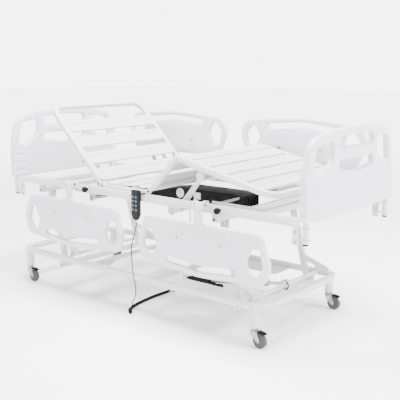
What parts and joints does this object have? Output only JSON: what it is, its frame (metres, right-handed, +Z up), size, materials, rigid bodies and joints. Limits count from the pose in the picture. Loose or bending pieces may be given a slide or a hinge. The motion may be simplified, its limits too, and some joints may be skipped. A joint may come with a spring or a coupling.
{
  "type": "adjustable hospital bed",
  "caption": "Electric hospital bed: lifting frame, tilting backrest and knee sections, moulded end boards, drop-down side rails, casters and a wired handset.",
  "frame": {"origin": "on the floor under the middle of the bed", "axes": "+X towards the foot end, +Y towards the left-hand rails of someone lying on the bed, +Z up"},
  "size_m": [2.26, 1.004, 1.1817],
  "materials": {
    "white_powder_coat": "satin powder coat",
    "white_moulding": "fine satin moulding",
    "zinc_steel": "zinc plated",
    "black_plastic": "fine texture",
    "grey_tyre": "smooth",
    "key_blue": "satin",
    "cord_sheath": "satin"
  },
  "bodies": {
    "base": {"base_frame": "white_powder_coat"},
    "caster_head_right": {"caster_fork_head_right": "zinc_steel"},
    "wheel_head_right": {"caster_wheel_head_right": "grey_tyre"},
    "brake_head_right": {"caster_pedal_head_right": "black_plastic"},
    "caster_head_left": {"caster_fork_head_left": "zinc_steel"},
    "wheel_head_left": {"caster_wheel_head_left": "grey_tyre"},
    "brake_head_left": {"caster_pedal_head_left": "black_plastic"},
    "caster_foot_right": {"caster_fork_foot_right": "zinc_steel"},
    "wheel_foot_right": {"caster_wheel_foot_right": "grey_tyre"},
    "brake_foot_right": {"caster_pedal_foot_right": "black_plastic"},
    "caster_foot_left": {"caster_fork_foot_left": "zinc_steel"},
    "wheel_foot_left": {"caster_wheel_foot_left": "grey_tyre"},
    "brake_foot_left": {"caster_pedal_foot_left": "black_plastic"},
    "lift_arms_head": {"lift_arms_head": "white_powder_coat"},
    "lift_arms_foot": {"lift_arms_foot": "white_powder_coat"},
    "lift_frame": {"lift_frame": "white_powder_coat", "seat_section": "white_powder_coat", "drive_hanger_rod": "zinc_steel", "dual_drive": "black_plastic", "handset": "black_plastic", "handset_cord": "cord_sheath"},
    "lift_motor": {"lift_motor": "black_plastic", "lift_tube": "zinc_steel"},
    "lift_rod": {"lift_rod": "white_powder_coat"},
    "headboard": {"headboard": "white_moulding", "headboard_post_right": "white_powder_coat", "headboard_post_left": "white_powder_coat"},
    "footboard": {"footboard": "white_moulding", "footboard_post_right": "white_powder_coat", "footboard_post_left": "white_powder_coat"},
    "backrest": {"backrest": "white_powder_coat"},
    "thigh_section": {"thigh_section": "white_powder_coat"},
    "leg_section": {"leg_section": "white_powder_coat"},
    "back_shaft": {"back_shaft": "zinc_steel"},
    "leg_shaft": {"leg_shaft": "white_powder_coat"},
    "back_roller_right": {"back_roller_right": "black_plastic"},
    "back_roller_left": {"back_roller_left": "black_plastic"},
    "leg_roller_right": {"leg_roller_right": "white_moulding"},
    "leg_roller_left": {"leg_roller_left": "white_moulding"},
    "side_rail_head_right": {"rail_panel_head_right": "white_moulding", "rail_bracket_head_right": "white_powder_coat"},
    "rail_knob_head_right": {"rail_knob_head_right": "black_plastic"},
    "side_rail_head_left": {"rail_panel_head_left": "white_moulding", "rail_bracket_head_left": "white_powder_coat"},
    "rail_knob_head_left": {"rail_knob_head_left": "black_plastic"},
    "side_rail_foot_right": {"rail_panel_foot_right": "white_moulding", "rail_bracket_foot_right": "white_powder_coat"},
    "rail_knob_foot_right": {"rail_knob_foot_right": "black_plastic"},
    "side_rail_foot_left": {"rail_panel_foot_left": "white_moulding", "rail_bracket_foot_left": "white_powder_coat"},
    "rail_knob_foot_left": {"rail_knob_foot_left": "black_plastic"},
    "button_1": {"handset_button_1": "key_blue"},
    "button_2": {"handset_button_2": "key_blue"},
    "button_3": {"handset_button_3": "key_blue"},
    "button_4": {"handset_button_4": "key_blue"},
    "button_5": {"handset_button_5": "key_blue"},
    "button_6": {"handset_button_6": "key_blue"},
    "button_7": {"handset_button_7": "key_blue"},
    "button_8": {"handset_button_8": "key_blue"}
  },
  "joints": [
    {"name": "swivel_head_right", "type": "hinge", "parent": "base", "child": "caster_head_right", "pos_m": [-1.0375, -0.382, 0.1], "axis": [0, 0, 1], "continuous": true},
    {"name": "spin_head_right", "type": "hinge", "parent": "caster_head_right", "child": "wheel_head_right", "pos_m": [-1.0035, -0.382, 0.04], "axis": [0, 1, 0], "continuous": true},
    {"name": "brake_head_right", "type": "hinge", "parent": "caster_head_right", "child": "brake_head_right", "pos_m": [-1.0075, -0.382, 0.0885], "axis": [0, 1, 0], "range_deg": [0, 15]},
    {"name": "swivel_head_left", "type": "hinge", "parent": "base", "child": "caster_head_left", "pos_m": [-1.0375, 0.382, 0.1], "axis": [0, 0, 1], "continuous": true},
    {"name": "spin_head_left", "type": "hinge", "parent": "caster_head_left", "child": "wheel_head_left", "pos_m": [-1.0035, 0.382, 0.04], "axis": [0, 1, 0], "continuous": true},
    {"name": "brake_head_left", "type": "hinge", "parent": "caster_head_left", "child": "brake_head_left", "pos_m": [-1.0075, 0.382, 0.0885], "axis": [0, 1, 0], "range_deg": [0, 15]},
    {"name": "swivel_foot_right", "type": "hinge", "parent": "base", "child": "caster_foot_right", "pos_m": [0.7825, -0.382, 0.1], "axis": [0, 0, 1], "continuous": true},
    {"name": "spin_foot_right", "type": "hinge", "parent": "caster_foot_right", "child": "wheel_foot_right", "pos_m": [0.8165, -0.382, 0.04], "axis": [0, 1, 0], "continuous": true},
    {"name": "brake_foot_right", "type": "hinge", "parent": "caster_foot_right", "child": "brake_foot_right", "pos_m": [0.8125, -0.382, 0.0885], "axis": [0, 1, 0], "range_deg": [0, 15]},
    {"name": "swivel_foot_left", "type": "hinge", "parent": "base", "child": "caster_foot_left", "pos_m": [0.7825, 0.382, 0.1], "axis": [0, 0, 1], "continuous": true},
    {"name": "spin_foot_left", "type": "hinge", "parent": "caster_foot_left", "child": "wheel_foot_left", "pos_m": [0.8165, 0.382, 0.04], "axis": [0, 1, 0], "continuous": true},
    {"name": "brake_foot_left", "type": "hinge", "parent": "caster_foot_left", "child": "brake_foot_left", "pos_m": [0.8125, 0.382, 0.0885], "axis": [0, 1, 0], "range_deg": [0, 15]},
    {"name": "bed_lift", "type": "hinge", "parent": "base", "child": "lift_arms_head", "pos_m": [-0.7305, 0, 0.158], "axis": [0, -1, 0], "range_deg": [0, 49]},
    {"name": "lift_frame_level", "type": "hinge", "parent": "lift_arms_head", "child": "lift_frame", "pos_m": [-0.8505, 0, 0.598], "axis": [0, -1, 0], "range_deg": [-49, 0]},
    {"name": "lift_foot", "type": "hinge", "parent": "base", "child": "lift_arms_foot", "pos_m": [0.6675, 0, 0.158], "axis": [0, -1, 0], "range_deg": [0, 49]},
    {"name": "motor_tilt", "type": "hinge", "parent": "base", "child": "lift_motor", "pos_m": [0.03, 0, 0.125], "axis": [0, -1, 0], "range_deg": [0, 2.59]},
    {"name": "lift_stroke", "type": "slide", "parent": "lift_motor", "child": "lift_rod", "axis": [0.9895, 0, 0.1443], "range_m": [-0.0666, 0]},
    {"name": "headboard_lift_off", "type": "slide", "parent": "lift_frame", "child": "headboard", "axis": [0, 0, 1], "range_m": [0, 0.1]},
    {"name": "footboard_lift_off", "type": "slide", "parent": "lift_frame", "child": "footboard", "axis": [0, 0, 1], "range_m": [0, 0.1]},
    {"name": "backrest_tilt", "type": "hinge", "parent": "lift_frame", "child": "backrest", "pos_m": [-0.3275, 0, 0.732], "axis": [0, 1, 0], "range_deg": [-45, 20]},
    {"name": "thigh_tilt", "type": "hinge", "parent": "lift_frame", "child": "thigh_section", "pos_m": [0.0725, 0, 0.732], "axis": [0, -1, 0], "range_deg": [-46, 0]},
    {"name": "knee", "type": "hinge", "parent": "thigh_section", "child": "leg_section", "pos_m": [0.267, 0, 0.93342], "axis": [0, -1, 0], "range_deg": [0, 58.81]},
    {"name": "back_shaft_turn", "type": "hinge", "parent": "lift_frame", "child": "back_shaft", "pos_m": [-0.3995, 0, 0.64], "axis": [0, 1, 0], "range_deg": [-49.51, 22.01]},
    {"name": "leg_shaft_turn", "type": "hinge", "parent": "lift_frame", "child": "leg_shaft", "pos_m": [0.2335, 0, 0.64], "axis": [0, -1, 0], "range_deg": [-45.3, 0]},
    {"name": "back_roller_right_spin", "type": "hinge", "parent": "back_shaft", "child": "back_roller_right", "pos_m": [-0.56011, -0.3005, 0.84191], "axis": [0, 1, 0], "continuous": true},
    {"name": "back_roller_left_spin", "type": "hinge", "parent": "back_shaft", "child": "back_roller_left", "pos_m": [-0.56011, 0.3005, 0.84191], "axis": [0, 1, 0], "continuous": true},
    {"name": "leg_roller_right_spin", "type": "hinge", "parent": "leg_shaft", "child": "leg_roller_right", "pos_m": [0.39217, -0.3405, 0.83962], "axis": [0, 1, 0], "continuous": true},
    {"name": "leg_roller_left_spin", "type": "hinge", "parent": "leg_shaft", "child": "leg_roller_left", "pos_m": [0.39217, 0.3405, 0.83962], "axis": [0, 1, 0], "continuous": true},
    {"name": "side_rail_head_right", "type": "hinge", "parent": "lift_frame", "child": "side_rail_head_right", "pos_m": [-0.49, -0.48, 0.725], "axis": [-1, 0, 0], "range_deg": [0, 180]},
    {"name": "rail_knob_head_right", "type": "slide", "parent": "lift_frame", "child": "rail_knob_head_right", "axis": [0, -1, 0], "range_m": [0, 0.01], "stiffness_N_per_m": 400},
    {"name": "side_rail_head_left", "type": "hinge", "parent": "lift_frame", "child": "side_rail_head_left", "pos_m": [-0.49, 0.48, 0.725], "axis": [-1, 0, 0], "range_deg": [0, 180]},
    {"name": "rail_knob_head_left", "type": "slide", "parent": "lift_frame", "child": "rail_knob_head_left", "axis": [0, 1, 0], "range_m": [0, 0.01], "stiffness_N_per_m": 400},
    {"name": "side_rail_foot_right", "type": "hinge", "parent": "lift_frame", "child": "side_rail_foot_right", "pos_m": [0.5025, -0.48, 0.725], "axis": [-1, 0, 0], "range_deg": [0, 180]},
    {"name": "rail_knob_foot_right", "type": "slide", "parent": "lift_frame", "child": "rail_knob_foot_right", "axis": [0, -1, 0], "range_m": [0, 0.01], "stiffness_N_per_m": 400},
    {"name": "side_rail_foot_left", "type": "hinge", "parent": "lift_frame", "child": "side_rail_foot_left", "pos_m": [0.5025, 0.48, 0.725], "axis": [-1, 0, 0], "range_deg": [0, 180]},
    {"name": "rail_knob_foot_left", "type": "slide", "parent": "lift_frame", "child": "rail_knob_foot_left", "axis": [0, 1, 0], "range_m": [0, 0.01], "stiffness_N_per_m": 400},
    {"name": "press_button_1", "type": "slide", "parent": "lift_frame", "child": "button_1", "axis": [0, 1, 0], "range_m": [0, 0.0015], "stiffness_N_per_m": 600},
    {"name": "press_button_2", "type": "slide", "parent": "lift_frame", "child": "button_2", "axis": [0, 1, 0], "range_m": [0, 0.0015], "stiffness_N_per_m": 600},
    {"name": "press_button_3", "type": "slide", "parent": "lift_frame", "child": "button_3", "axis": [0, 1, 0], "range_m": [0, 0.0015], "stiffness_N_per_m": 600},
    {"name": "press_button_4", "type": "slide", "parent": "lift_frame", "child": "button_4", "axis": [0, 1, 0], "range_m": [0, 0.0015], "stiffness_N_per_m": 600},
    {"name": "press_button_5", "type": "slide", "parent": "lift_frame", "child": "button_5", "axis": [0, 1, 0], "range_m": [0, 0.0015], "stiffness_N_per_m": 600},
    {"name": "press_button_6", "type": "slide", "parent": "lift_frame", "child": "button_6", "axis": [0, 1, 0], "range_m": [0, 0.0015], "stiffness_N_per_m": 600},
    {"name": "press_button_7", "type": "slide", "parent": "lift_frame", "child": "button_7", "axis": [0, 1, 0], "range_m": [0, 0.0015], "stiffness_N_per_m": 600},
    {"name": "press_button_8", "type": "slide", "parent": "lift_frame", "child": "button_8", "axis": [0, 1, 0], "range_m": [0, 0.0015], "stiffness_N_per_m": 600}
  ],
  "couplings": [
    {"joint": "lift_frame_level", "follows": "bed_lift", "ratio": -1},
    {"joint": "lift_foot", "follows": "bed_lift", "ratio": 1},
    {"joint": "motor_tilt", "follows": "bed_lift", "ratio": 0.05182},
    {"joint": "lift_stroke", "follows": "bed_lift", "m_per_rad": -0.07748},
    {"joint": "knee", "follows": "thigh_tilt", "ratio": -1.2783},
    {"joint": "back_shaft_turn", "follows": "backrest_tilt", "ratio": 1.1},
    {"joint": "leg_shaft_turn", "follows": "thigh_tilt", "ratio": 0.984}
  ]
}
